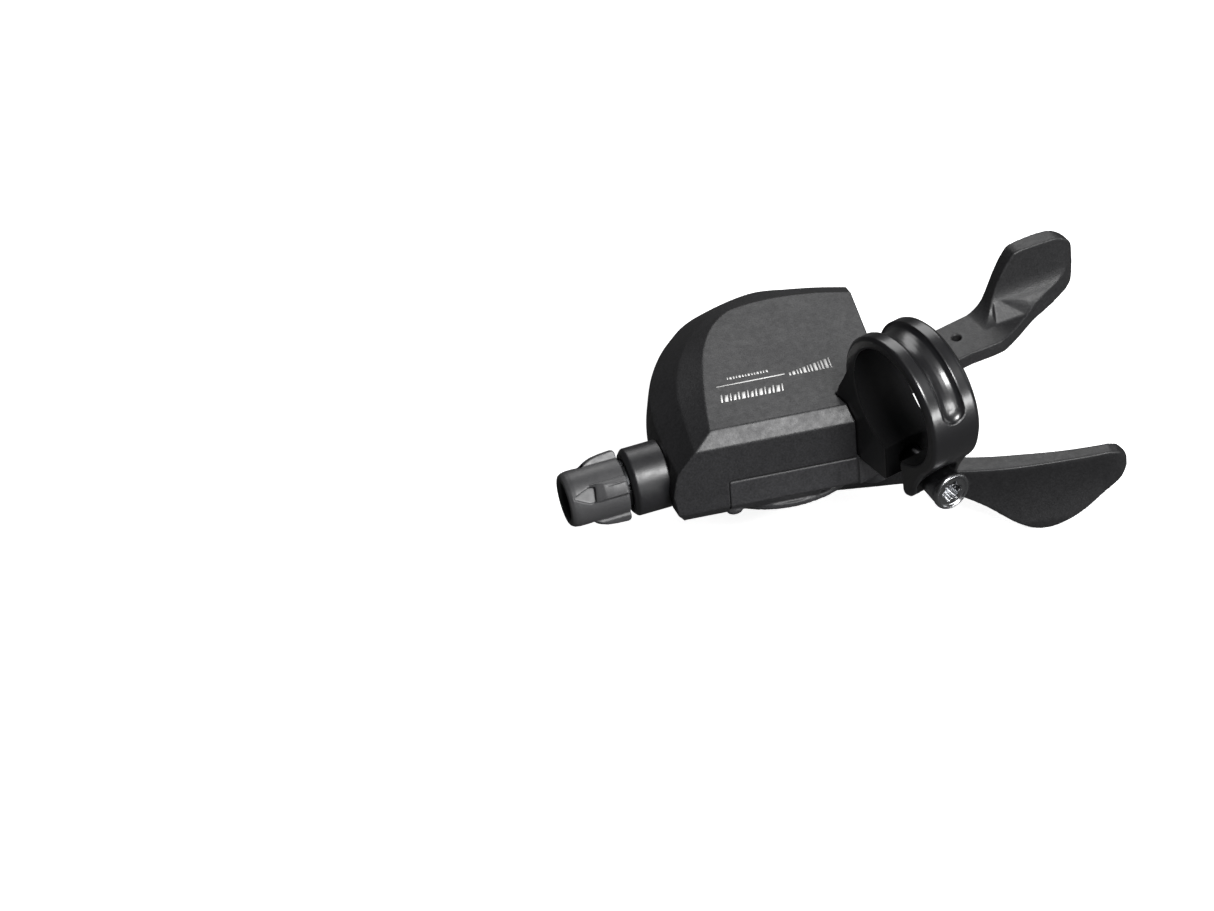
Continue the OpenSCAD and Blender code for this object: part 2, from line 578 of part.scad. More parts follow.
// a coil round a pivot pin, with one straight leg
module pivot_spring(leg, rise, turns, r) wire(concat([[2.2, -leg, 0], [2.3, -1.4, 0]],
    coil(r = 2.2, rise = rise, turns = turns, steps = 12)), r = r);
module trigger_spring() color("#c3c6ca") at(trigger_pin, -13.9) turn(144)
    pivot_spring(leg = 5, rise = 1.9, turns = 3, r = 0.3);
module holding_pawl() color("#8f9398") difference() {
    union() {
        at(pawl_pin, pawl_w) cylinder(r = 2.9, h = pawl_t);
        slab(pawl_w, pawl_w + pawl_t) polygon([[14.45, 27.02], [14.7, 29.2], [17.6, 31.0],
            [22.6, 33.2], [25.2, 32.3], [25.0, 29.4], [20.5, 28.6], [17.3, 27.65], [16.2, 27.0]]);
    }
    at(pawl_pin, -17) cylinder(r = pivot_bore_r, h = 5);
}
module holding_pawl_spring() color("#c3c6ca") at(pawl_pin, -13.5) turn(250)
    pivot_spring(leg = 4.9, rise = 1.6, turns = 2.5, r = 0.28);

upper_cover();
lower_case();
clamp_band();
clamp_screw();
clamp_fixing_screw();
base_plate();
upper_plate();
main_axle();
axle_nut();
axle_bush();
axle_washer();
cover_screws();
trigger_pivot_pin();
pawl_pivot_pin();
cable_stop();
adjuster_spring();
detent_ring();
adjuster_bolt();
adjuster_knob();
cable_drum();
ratchet_wheel();
drum_return_spring();
thumb_lever();
lever_carrier();
lever_return_spring();
drive_pawl_pin();
drive_pawl();
drive_pawl_spring();
release_trigger();
trigger_spring();
holding_pawl();
holding_pawl_spring();
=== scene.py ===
# A gear shifter on a handlebar clamp. The handlebar runs along X through the origin, +Z is up.
# The shifter pod sits behind the bar (+Y), the cable adjuster leaves it towards -X, and the
# thumb lever and release trigger reach out towards +X. Pieces are drawn in millimetres and
# scaled to metres when finished.
import math
import bpy
import bmesh
import numpy as np
from mathutils import Matrix, Vector


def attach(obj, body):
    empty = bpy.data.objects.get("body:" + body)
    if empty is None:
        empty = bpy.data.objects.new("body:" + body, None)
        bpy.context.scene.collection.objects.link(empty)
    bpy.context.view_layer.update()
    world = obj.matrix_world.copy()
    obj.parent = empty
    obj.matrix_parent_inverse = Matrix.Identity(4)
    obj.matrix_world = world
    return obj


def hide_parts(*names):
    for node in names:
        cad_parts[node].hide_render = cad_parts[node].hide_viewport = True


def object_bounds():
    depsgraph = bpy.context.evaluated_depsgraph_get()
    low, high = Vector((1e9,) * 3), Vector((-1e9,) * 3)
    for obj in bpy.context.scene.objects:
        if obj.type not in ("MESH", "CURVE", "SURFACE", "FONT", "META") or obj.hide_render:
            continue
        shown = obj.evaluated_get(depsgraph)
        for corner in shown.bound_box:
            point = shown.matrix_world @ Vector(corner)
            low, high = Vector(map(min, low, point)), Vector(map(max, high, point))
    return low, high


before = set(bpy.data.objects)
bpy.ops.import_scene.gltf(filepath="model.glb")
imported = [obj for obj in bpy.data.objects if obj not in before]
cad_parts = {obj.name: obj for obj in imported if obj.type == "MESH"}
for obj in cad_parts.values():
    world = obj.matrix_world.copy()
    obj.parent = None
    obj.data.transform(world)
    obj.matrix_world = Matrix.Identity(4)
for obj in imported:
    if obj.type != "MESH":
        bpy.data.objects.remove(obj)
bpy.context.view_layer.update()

COLLECTION = bpy.context.scene.collection

# ---- local frames ------------------------------------------------------------


def move(x, y, z):
    return Matrix.Translation((x, y, z))


def turn(degrees, axis):
    return Matrix.Rotation(math.radians(degrees), 4, axis)


IDENTITY = Matrix.Identity(4)
# The pod's own axes are u, v, w: turned from X, Y about Z, with w = 0 on the top face.
POD = move(-28.4, 22.65, -8.19) @ turn(-20.87, "Z")


def pod_at(u, v):
    return POD @ move(u, v, 0)


AXLE_AT = (14, 17)
AXLE = pod_at(*AXLE_AT)
BARREL = POD @ move(-8, 6.2, -12.8) @ turn(4.5, "Z") @ turn(-92.5, "Y")  # z points outwards
BAND = turn(90, "Y")  # z runs along the handlebar
# (y, z) drawings, thick along x, and (x, z) drawings, thick along y
YZ_DRAWING = Matrix(((0, 0, 1, 0), (1, 0, 0, 0), (0, 1, 0, 0), (0, 0, 0, 1)))
XZ_DRAWING = Matrix(((1, 0, 0, 0), (0, 0, 1, 0), (0, 1, 0, 0), (0, 0, 0, 1)))

# ---- solids ------------------------------------------------------------------


def solid(name, verts, faces, place=IDENTITY):
    mesh = bpy.data.meshes.new(name)
    mesh.from_pydata([tuple(float(c) for c in v) for v in verts], [], faces)
    bm = bmesh.new()
    bm.from_mesh(mesh)
    bmesh.ops.remove_doubles(bm, verts=bm.verts, dist=1e-5)
    bmesh.ops.recalc_face_normals(bm, faces=bm.faces)
    bm.to_mesh(mesh)
    bm.free()
    mesh.transform(place)
    piece = bpy.data.objects.new(name, mesh)
    COLLECTION.objects.link(piece)
    return piece


def loft(rings, place=IDENTITY):
    """Skins equal rings of points and caps both ends."""
    n = len(rings[0])
    verts = [p for r in rings for p in r]
    faces = [list(range(n)), list(range((len(rings) - 1) * n, len(rings) * n))]
    for k in range(len(rings) - 1):
        for i in range(n):
            j = (i + 1) % n
            faces.append([k * n + i, k * n + j, (k + 1) * n + j, (k + 1) * n + i])
    return solid("loft", verts, faces, place)


def lift(outline, z):
    return [(float(x), float(y), z) for x, y in outline]


def prism(outline, z0, z1, place=IDENTITY):
    return loft([lift(outline, z) for z in (z0, z1)], place)


def lathe(profile, place=IDENTITY, seg=128):
    """profile: closed loop of (r, z); points with r = 0 sit on the axis."""
    verts, rows = [], []
    for r, z in profile:
        if r < 1e-6:
            rows.append([len(verts)] * seg)
            verts.append((0, 0, z))
        else:
            rows.append(list(range(len(verts), len(verts) + seg)))
            angles = [2 * math.pi * k / seg for k in range(seg)]
            verts += [(r * math.cos(t), r * math.sin(t), z) for t in angles]
    faces = []
    for low, high in zip(rows, rows[1:] + rows[:1]):
        if low[0] == low[1] and high[0] == high[1]:
            continue
        for k in range(seg):
            j = (k + 1) % seg
            face = []
            for v in (low[k], low[j], high[j], high[k]):
                if v not in face:
                    face.append(v)
            faces.append(face)
    return solid("lathe", verts, faces, place)


def tube(r, z0, z1, place=IDENTITY, r2=None, seg=128):
    """A solid cylinder, or a cone that ends at radius r2."""
    r2 = r if r2 is None else r2
    return lathe([(0, z0), (r, z0), (r2, z1), (0, z1)], place, seg)


def ring(outer, inner, z0, z1, place=IDENTITY, seg=128):
    return lathe([(inner, z0), (outer, z0), (outer, z1), (inner, z1)], place, seg)


def block(lo, hi, place=IDENTITY):
    corners = [(lo[0], lo[1]), (hi[0], lo[1]), (hi[0], hi[1]), (lo[0], hi[1])]
    return prism(corners, lo[2], hi[2], place)


def ball(centre, radii, place=IDENTITY):
    n = 48
    profile = [(math.sin(math.pi * k / n), -math.cos(math.pi * k / n)) for k in range(n + 1)]
    profile[0], profile[-1] = (0, -1), (0, 1)
    piece = lathe(profile, seg=64)
    piece.data.transform(place @ move(*centre) @ Matrix.Diagonal((*radii, 1)))
    return piece


def evaluated_mesh(piece):
    graph = bpy.context.evaluated_depsgraph_get()
    mesh = bpy.data.meshes.new_from_object(piece.evaluated_get(graph), depsgraph=graph)
    piece.modifiers.clear()
    return mesh


def swap_mesh(piece, mesh):
    old = piece.data
    piece.data = mesh
    bpy.data.meshes.remove(old)


def combine(piece, tool, kind):
    # EXACT steps in where MANIFOLD refuses the meshes and changes nothing.
    for solver in ("MANIFOLD", "EXACT"):
        m = piece.modifiers.new("boolean", "BOOLEAN")
        m.operation, m.object, m.solver = kind, tool, solver
        mesh = evaluated_mesh(piece)
        if len(mesh.polygons) > 3 and (
            kind != "UNION" or len(mesh.vertices) != len(piece.data.vertices)
        ):
            swap_mesh(piece, mesh)
            break
        bpy.data.meshes.remove(mesh)
    bpy.data.objects.remove(tool)
    return piece


def add(piece, *others):
    for other in others:
        combine(piece, other, "UNION")
    return piece


def cut(piece, *tools):
    for tool in tools:
        combine(piece, tool, "DIFFERENCE")
    return piece


def common(piece, other):
    return combine(piece, other, "INTERSECT")


def soften(piece, voxel, times, keep):
    """Rounds every edge a little, then keeps a share of the faces."""
    m = piece.modifiers.new("remesh", "REMESH")
    m.mode, m.voxel_size, m.adaptivity = "VOXEL", voxel, 0.0
    m.use_smooth_shade = True
    m = piece.modifiers.new("smooth", "SMOOTH")
    m.factor, m.iterations = 0.5, times
    piece.modifiers.new("decimate", "DECIMATE").ratio = keep
    swap_mesh(piece, evaluated_mesh(piece))
    return piece


def finish_piece(piece, name, body, node, skin):
    """Scales to metres, gives the material, hangs the piece under its body and hides the CAD part
    it replaces, if any.
    """
    piece.name = name
    piece.data.name = name
    piece.data.transform(Matrix.Scale(0.001, 4))
    for face in piece.data.polygons:
        face.use_smooth = True
    piece.data.materials.clear()
    piece.data.materials.append(skin)
    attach(piece, body)
    if node:
        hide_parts(node)
    return piece


# ---- curves ------------------------------------------------------------------


def blend(a, b, c, d, t):
    """Catmull-Rom point at share t of the way from b to c."""
    return 0.5 * (2 * b + (c - a) * t + (2 * a - 5 * b + 4 * c - d) * t * t
                  + (3 * b - a - 3 * c + d) * t ** 3)


def curve(points, n):
    """Smooth curve through the points, n steps to each span."""
    p = [np.array(q, float) for q in points]
    out = []
    for i in range(len(p) - 1):
        span = p[max(i - 1, 0)], p[i], p[i + 1], p[min(i + 2, len(p) - 1)]
        out += [blend(*span, k / n) for k in range(n)]
    return [tuple(q) for q in out + [p[-1]]]


def inset(outline, t):
    p = np.array(outline, float)
    out = []
    for i in range(len(p)):
        a, b, c = p[i - 1], p[i], p[(i + 1) % len(p)]
        d, e = (b - a) / np.linalg.norm(b - a), (c - b) / np.linalg.norm(c - b)
        u, v = np.array([d[1], -d[0]]), np.array([e[1], -e[0]])
        out.append(b + t * (u + v) / (1 + u @ v))
    return out


# ---- materials ---------------------------------------------------------------


def blank_tree(owner):
    owner.use_nodes = True
    tree = owner.node_tree
    tree.nodes.clear()
    return tree.nodes.new, tree.links.new


def material(name, base, rough, metallic=0.0, grain=4500.0, speck=0.1, bump=0.15, depth=3e-5,
             cloud=0.12, wear_and_glint=0.25, wear_and_glint_colour=None, spec=0.5, coat=0.0, coat_rough=0.2,
             streak=None, edge=2.5e-4, rough_var=0.12):
    """grain: scale of the finest noise; speck, cloud: its and the broad noise's share of the
    colour; bump, depth: relief strength and height in metres; wear_and_glint: share of
    wear_and_glint_colour on edges, which stands for rubbed edges and, on the clamp, also for a
    painted edge highlight; streak: noise scales along x, y, z for fine lines; edge: rounding
    radius in metres; rough_var: swing of the roughness."""
    mat = bpy.data.materials.new(name)
    node, link = blank_tree(mat)

    def maths(op, a, b, clamp=False):
        n = node("ShaderNodeMath")
        n.operation, n.use_clamp = op, clamp
        for i, v in enumerate((a, b)):
            if isinstance(v, (int, float)):
                n.inputs[i].default_value = v
            else:
                link(v, n.inputs[i])
        return n.outputs[0]

    def swing(value, amount):
        """Noise centred on zero and scaled."""
        return maths("MULTIPLY", maths("SUBTRACT", value, 0.5), amount)

    def bevel(radius):
        n = node("ShaderNodeBevel")
        n.samples = 4
        n.inputs["Radius"].default_value = radius
        return n.outputs[0]

    output = node("ShaderNodeOutputMaterial")
    bsdf = node("ShaderNodeBsdfPrincipled")
    link(bsdf.outputs[0], output.inputs[0])
    coords = node("ShaderNodeTexCoord")

    def noise(scale, detail, stretch=None):
        source = coords.outputs["Object"]
        if stretch:
            mapping = node("ShaderNodeMapping")
            mapping.inputs["Scale"].default_value = stretch
            link(source, mapping.inputs[0])
            source = mapping.outputs[0]
        n = node("ShaderNodeTexNoise")
        n.inputs["Scale"].default_value = scale
        n.inputs["Detail"].default_value = detail
        n.inputs["Roughness"].default_value = 0.55
        link(source, n.inputs["Vector"])
        return n.outputs[0]

    big = noise(scale=110.0, detail=4.0)
    mid = noise(scale=900.0, detail=3.0)
    fine = noise(scale=grain, detail=2.0)
    # colour: broad clouds and a fine speckle
    gain = maths("ADD", swing(big, 2 * cloud), 1.0)
    gain = maths("ADD", gain, swing(fine, 2 * speck))
    gain = maths("ADD", gain, swing(mid, cloud))
    scaled = node("ShaderNodeVectorMath")
    scaled.operation = "SCALE"
    scaled.inputs[0].default_value = base
    link(gain, scaled.inputs["Scale"])
    # lighter edge colour where the rounded normal leaves the true one, broken up by noise: rubbed
    # edges, and on the clamp also a painted edge highlight
    rounded = bevel(edge * 1.6)
    geometry = node("ShaderNodeNewGeometry")
    dot = node("ShaderNodeVectorMath")
    dot.operation = "DOT_PRODUCT"
    link(rounded, dot.inputs[0])
    link(geometry.outputs["Normal"], dot.inputs[1])
    wear_and_glint_share = maths("MULTIPLY", maths("SUBTRACT", 1.0, dot.outputs["Value"]), 9.0, True)
    patches = maths("MULTIPLY", maths("SUBTRACT", mid, 0.32), 3.2, True)
    wear_and_glint_share = maths("MULTIPLY", wear_and_glint_share, patches)
    wear_and_glint_share = maths("MULTIPLY", wear_and_glint_share, wear_and_glint)
    mix = node("ShaderNodeMix")
    mix.data_type = "RGBA"
    link(wear_and_glint_share, mix.inputs[0])
    link(scaled.outputs[0], mix.inputs[6])
    wear_and_glint_colour = wear_and_glint_colour or tuple(min(1.0, c * 2.6 + 0.03) for c in base)
    mix.inputs[7].default_value = (*wear_and_glint_colour, 1)
    link(mix.outputs[2], bsdf.inputs["Base Color"])
    roughness = maths("ADD", swing(mid, 2 * rough_var), rough)
    roughness = maths("ADD", roughness, swing(big, rough_var), True)
    link(roughness, bsdf.inputs["Roughness"])
    # relief: fine grain, and drawn or turned lines where asked
    height = fine
    if streak:
        lines = noise(scale=1.0, detail=2.0, stretch=streak)
        height = maths("ADD", maths("MULTIPLY", fine, 0.4), maths("MULTIPLY", lines, 0.9))
    relief = node("ShaderNodeBump")
    relief.inputs["Strength"].default_value = bump
    relief.inputs["Distance"].default_value = depth
    link(height, relief.inputs["Height"])
    link(bevel(edge), relief.inputs["Normal"])
    link(relief.outputs[0], bsdf.inputs["Normal"])
    bsdf.inputs["Metallic"].default_value = metallic
    bsdf.inputs["Specular IOR Level"].default_value = spec
    bsdf.inputs["Coat Weight"].default_value = coat
    bsdf.inputs["Coat Roughness"].default_value = coat_rough
    return mat


MOULDED = dict(grain=2600, speck=0.8, bump=0.75, depth=4e-5)  # coarse-grained plastic
SATIN = dict(grain=3000, speck=0.25, bump=0.3)

CASING = material("casing_plastic", base=(0.021, 0.021, 0.0225), rough=0.46, wear_and_glint=0.10, **MOULDED)
LOWER_CASE = material("lower_case_plastic", base=(0.030, 0.030, 0.032), rough=0.48, wear_and_glint=0.10,
                      spec=0.45, **MOULDED)
# the clamp's lighter edge colour is partly rubbed edges and partly a painted edge highlight
CLAMP = material("clamp_anodised", base=(0.008, 0.008, 0.009), rough=0.30, grain=5000, speck=0.06,
                 bump=0.1, cloud=0.04, rough_var=0.03, wear_and_glint=0.10, spec=0.65, coat=0.35,
                 coat_rough=0.16, wear_and_glint_colour=(0.14, 0.14, 0.145))
# a dull, unreflective copy of the clamp finish for the bore and the slit: painted shade, so these
# faces stay dark
BORE_SHADE_SKIN = material("clamp_bore_painted_shade", base=(0.008, 0.008, 0.0085), rough=0.7, grain=3500, speck=0.2,
                     bump=0.2, wear_and_glint=0.0, spec=0.06)
NECK = material("neck_anodised", base=(0.014, 0.014, 0.0155), rough=0.40, cloud=0.06, wear_and_glint=0.10,
                spec=0.6, wear_and_glint_colour=(0.15, 0.15, 0.15), **SATIN)
KNOB = material("knob_plastic", base=(0.050, 0.050, 0.052), rough=0.44, cloud=0.08, wear_and_glint=0.2,
                spec=0.6, **SATIN)
LEVER = material("lever_plastic", base=(0.014, 0.014, 0.015), rough=0.46, wear_and_glint=0.22, **MOULDED)
TRIGGER = material("trigger_plastic", base=(0.017, 0.017, 0.018), rough=0.45, wear_and_glint=0.22, **MOULDED)
CHROME = material("screw_chrome", base=(0.36, 0.365, 0.375), rough=0.25, metallic=1.0, grain=3000,
                  speck=0.03, bump=0.02, cloud=0.05, wear_and_glint=0.0, streak=(90, 6000, 90),
                  rough_var=0.05)
# darkened steel for the detent ring and adjuster bolt: the dark tone is painted shade for the gap
# between knob and neck
GAP_SHADE_STEEL = material("ring_steel_painted_shade", base=(0.045, 0.046, 0.048), rough=0.5, metallic=1.0,
                      speck=0.05, bump=0.04, cloud=0.06, wear_and_glint=0.0)
# near-black steel for the clamp screw's shank: painted shade, the real screw is bright throughout
SHANK_SHADE_STEEL = material("shank_painted_shade", base=(0.035, 0.035, 0.037), rough=0.32, metallic=1.0,
                   bump=0.1, wear_and_glint=0.05)
STEEL = material("turned_steel", base=(0.52, 0.53, 0.55), rough=0.3, metallic=1.0, speck=0.05,
                 bump=0.12, wear_and_glint=0.2, wear_and_glint_colour=(0.75, 0.75, 0.76), streak=(300, 300, 7000))
PLATE = material("plated_sheet", base=(0.47, 0.48, 0.50), rough=0.36, metallic=1.0, speck=0.08,
                 bump=0.2, wear_and_glint_colour=(0.75, 0.75, 0.76), streak=(500, 5200, 500))
DARK_STEEL = material("hardened_steel", base=(0.19, 0.19, 0.20), rough=0.34, metallic=1.0,
                      bump=0.2, wear_and_glint=0.45, wear_and_glint_colour=(0.6, 0.6, 0.6), streak=(4200, 400, 400))
SPRING = material("spring_wire", base=(0.62, 0.63, 0.65), rough=0.25, metallic=1.0, speck=0.05,
                  bump=0.1, wear_and_glint=0.0, streak=(800, 800, 5000), edge=5e-5)
BRONZE = material("sintered_bronze", base=(0.46, 0.29, 0.13), rough=0.42, metallic=1.0,
                  grain=3800, speck=0.14, bump=0.3, wear_and_glint=0.3, wear_and_glint_colour=(0.7, 0.5, 0.25))
DRUM = material("drum_resin", base=(0.030, 0.11, 0.19), rough=0.42, grain=3600, speck=0.08,
                bump=0.2, wear_and_glint=0.2, wear_and_glint_colour=(0.12, 0.24, 0.34))
PRINT = material("print_white", base=(0.82, 0.82, 0.81), rough=0.5, grain=6000, speck=0.05,
                 cloud=0.05, wear_and_glint=0.0, edge=2e-5)

# ---- casing ------------------------------------------------------------------
# (u, v) along the curved side of the pod, one row for each of the first five levels
SIDES = [
    [(0, 0), (1, 7), (2.5, 15), (4, 21), (6, 25.8), (8.5, 29.2), (12, 31.5), (19, 32.3),
     (26.5, 31.6), (33.2, 29.9)],
    [(-3.5, -2.4), (-3.2, 6), (-2.6, 14), (-0.7, 21.3), (2.1, 26.95), (5.5, 31.45),
     (10.15, 34.95), (18.5, 37.1), (26.4, 36.2), (33.4, 34.3)],
    [(-6.8, -2.4), (-7.2, 5), (-7.4, 13), (-6.2, 21.2), (-3.5, 28.05), (0.4, 33.85),
     (6.15, 38.95), (17.5, 42.9), (26.1, 41.3), (33.7, 38.8)],
    [(-7.7, -2.4), (-8.4, 5), (-8.5, 13), (-6.9, 21.4), (-4, 28.75), (-0.1, 34.65),
     (5.75, 39.75), (17.5, 43.6), (26.1, 42), (33.9, 39.2)],
    [(-7, -2.4), (-8, 5), (-8.2, 13), (-6.7, 21.4), (-3.9, 28.65), (-0.1, 34.55),
     (5.75, 39.55), (17.5, 43.3), (26.1, 41.7), (34, 39)],
]
# (u, v) of the square corner that closes each row
CORNERS = [(33.2, 0), (33.4, -2.4), (33.7, -2.4), (33.9, -2.4), (34, -2.4)]
FLOOR, PLATE_TOP = -18.6, -17.4  # w of the lower plate's two faces
LEVELS = [0, -2.4, -6.9, -12, -16.2, FLOOR]  # w, from the top down
SHELL, TOP, GAP = 1.8, 2.0, 0.1  # wall, roof and joint
LIP = SHELL + 0.4  # how far the lower plate lies inside the outline
SCREWS = [(0.1, 27.6), (7.9, 36), (29.2, 35)]  # u, v
TRIGGER_PIN, PAWL_PIN = (27, 21.5), (24.5, 31.5)
FIXING = move(0, 14.4, 0)  # upright screw that joins case and clamp


def outline(k, n):
    return curve(SIDES[k], n) + [CORNERS[k]]


def envelope(n=10):
    """The pod's outer form, lofted down through the levels."""
    outs = [np.array(outline(k, n)) for k in range(5)]
    outs.append(np.array(inset(outline(4, n), 1.5)))
    count = len(outs[0])
    # how far each point leans from flat facets towards one smooth curve
    soft = np.zeros((count, 1))
    soft[:-1, 0] = np.clip(np.arange(count - 1) / 12.0, 0, 1) * 0.15
    rings = []
    for k in range(5):
        w0, w1 = LEVELS[k], LEVELS[k + 1]
        before, start, end, after = outs[max(k - 1, 0)], outs[k], outs[k + 1], outs[min(k + 2, 5)]
        if k == 3:
            after = end + (end - start) * 0.5
        lean = soft if 0 < k < 4 else soft * 0.35
        steps = max(2, int(round((w0 - w1) / 0.6)))
        for step in range(steps):
            t = step / steps
            line = start + (end - start) * t
            smooth = blend(before, start, end, after, t)
            mixed = line + (smooth - line) * lean
            if k in (1, 2):  # the crease bends smoothly, in the straight side's plane
                mixed[0, 0] = line[0, 0] + (smooth[0, 0] - line[0, 0]) * 0.8
            rings.append(lift(mixed, w0 + (w1 - w0) * t))
    rings.append(lift(outs[5], FLOOR))
    return loft(rings, POD)


def cavity():
    # (level, inset, w)
    stations = [(0, 0.8, -TOP), (1, 2.2, -2 - TOP), (2, SHELL + 0.2, -8), (3, SHELL, -12),
                (4, SHELL, -16), (4, LIP - GAP, -17.3), (4, LIP - GAP, FLOOR - 1)]
    return loft([lift(inset(outline(k, 2), t), w) for k, t, w in stations], POD)


def clamp_corner(margin, z0):
    """The space the clamp takes out of the casing's -Y side."""
    return block((-5 - margin, -20, z0), (55, 17.5 + margin, z0 + 60))


def cover():
    plug_axis = POD @ turn(90, "Y")
    shell = envelope()
    shell = cut(shell, cut(cavity(), clamp_corner(SHELL + GAP, -21.4)))
    posts = add(*[tube(2.2, -17.3, -1.1, pod_at(*at), seg=48) for at in SCREWS])
    shell = add(shell, common(posts, envelope(6)))
    shell = add(shell, tube(3.5, 0, 2, POD @ move(32.6, 10.9, -14.4) @ turn(90, "Y")))
    # pad around the cable stop
    pad = common(tube(5.6, -3.2, -0.6, BARREL), block((-4.2, -8, -4.2), (11.8, 8, 1.8), BARREL))
    shell = add(shell, pad)
    return soften(
        cut(
            shell,
            clamp_corner(GAP, -40),
            block((2.4, -4, -19.6), (62.4, 0.6, -10.55), POD),
            block((29.5, 14.1, -17.45), (37.5, 26.2, -13.9), POD),
            tube(2.7, 0, 10, POD @ move(28, 10.9, -14.4) @ turn(90, "Y")),
            tube(6.25, -0.35, 11.65, BARREL),
            tube(4.1, -8, 4, BARREL),
            *[tube(1.1, -18, -12, pod_at(*at), seg=32) for at in SCREWS],
        ), voxel=0.2, times=4, keep=0.45)


def case_tab():
    """Tab below the case, under the clamp."""
    tab = block((-5.1, 10.8, -26.9), (6.5, 19.2, -18.6))
    return cut(
        tab,
        block((-20, -1.6, -1.6), (20, 1.6, 1.6), move(0, 10.8, -26.9) @ turn(45, "X")),
        block((-20, 17.5, -21.5), (40, 27.5, -11.5)),
        block((3.7, 17.5, -30), (23.7, 27.5, -18)),
        block((35.2, -20, -30), (55.2, 40, 0), POD),
    )


def case():
    plate = prism(inset(outline(4, 6), LIP), FLOOR, PLATE_TOP, POD)
    plate = cut(plate, clamp_corner(GAP, -60))
    wall = common(envelope(), block((2.52, -4, FLOOR), (42.5, 1.0, -10.72), POD))
    wall = cut(wall, block((2, -0.6, PLATE_TOP), (62, 5.4, -10), POD))
    wall = common(wall, block((-105.1, -50, -60), (-5.1, 50, 0)))
    boss = tube(18.7, -20.2, FLOOR - 0.02, AXLE, seg=192)
    boss = cut(boss, ring(20, 18.1, -20.3, -19.6, AXLE, 192))
    body = add(plate, wall, case_tab())
    # the lower edge falls away towards the clamp
    edge = [(-5, -18.7), (-5, -16.2), (-1.2, -16.9), (0.5, -18.7)]
    body = cut(body, prism(edge, 19, 45, POD @ YZ_DRAWING))
    body = add(body, boss, ball((3.4, -1.1, -18.1), (1.5, 0.8, 0.95), POD))
    body = cut(body, tube(16.3, FLOOR, FLOOR + 3, AXLE, seg=192), tube(6.4, -25, -15, AXLE))
    for at in SCREWS:
        body = cut(body, tube(1.4, -22, -14, pod_at(*at), seg=48),
                   tube(2.1, -20.4, -18.55, pod_at(*at), seg=48))
    body = cut(body, tube(1.52, -22, -14, pod_at(*PAWL_PIN), seg=48))
    body = cut(body, tube(2.1, -40, -10, FIXING, seg=64), tube(3.3, -40, -24.6, FIXING, seg=64))
    return soften(body, voxel=0.17, times=3, keep=0.5)


# ---- clamp -------------------------------------------------------------------
BORE_R, BAND_R, BAND_WIDTH = 11.15, 13.4, 10.0
BAND_X0, BAND_X1 = -BAND_WIDTH / 2, BAND_WIDTH / 2 + 0.35
SLIT_Y = (-2.1, 2.3)
CLAMP_SCREW_Z = -14.8
ACROSS_SLIT = turn(90, "X")  # z points to -Y
# (radius, x) of the band's outside
RIM = [(0, BAND_X0), (BAND_R - 0.55, BAND_X0), (BAND_R - 0.05, BAND_X0 + 0.5),
       (BAND_R, BAND_X0 + 0.8), (BAND_R, BAND_X1 - 1.0), (BAND_R - 0.1, BAND_X1 - 0.7),
       (BAND_R - 0.9, BAND_X1), (0, BAND_X1)]
# (y, z) of the lugs either side of the slit: foot on +Y, ear on -Y
FOOT = [(2.3, -9), (2.3, -17.7), (2.9, -18.4), (10.3, -18.9), (10.6, -18.1), (17.4, -18.1)]
FOOT_BACK = [(17.4, -8.6), (16.4, -5.9), (14.6, -2.6), (12.6, 1.5), (11.0, 4.5)]
EAR_CURVE = [(-2.1, -16.6), (-2.35, -17.6), (-3.2, -18.15), (-4.3, -17.9), (-5.2, -16.7),
             (-5.9, -14.9), (-7.1, -12.7), (-8.6, -10.5), (-10.2, -8.5), (-11.6, -6.4)]
# (radius, x) of half the groove round the band
GROOVE = [(22, -2.35), (13.5, -2.35), (12.95, -2.2), (12.55, -1.7), (12.36, -0.9), (12.3, 0)]


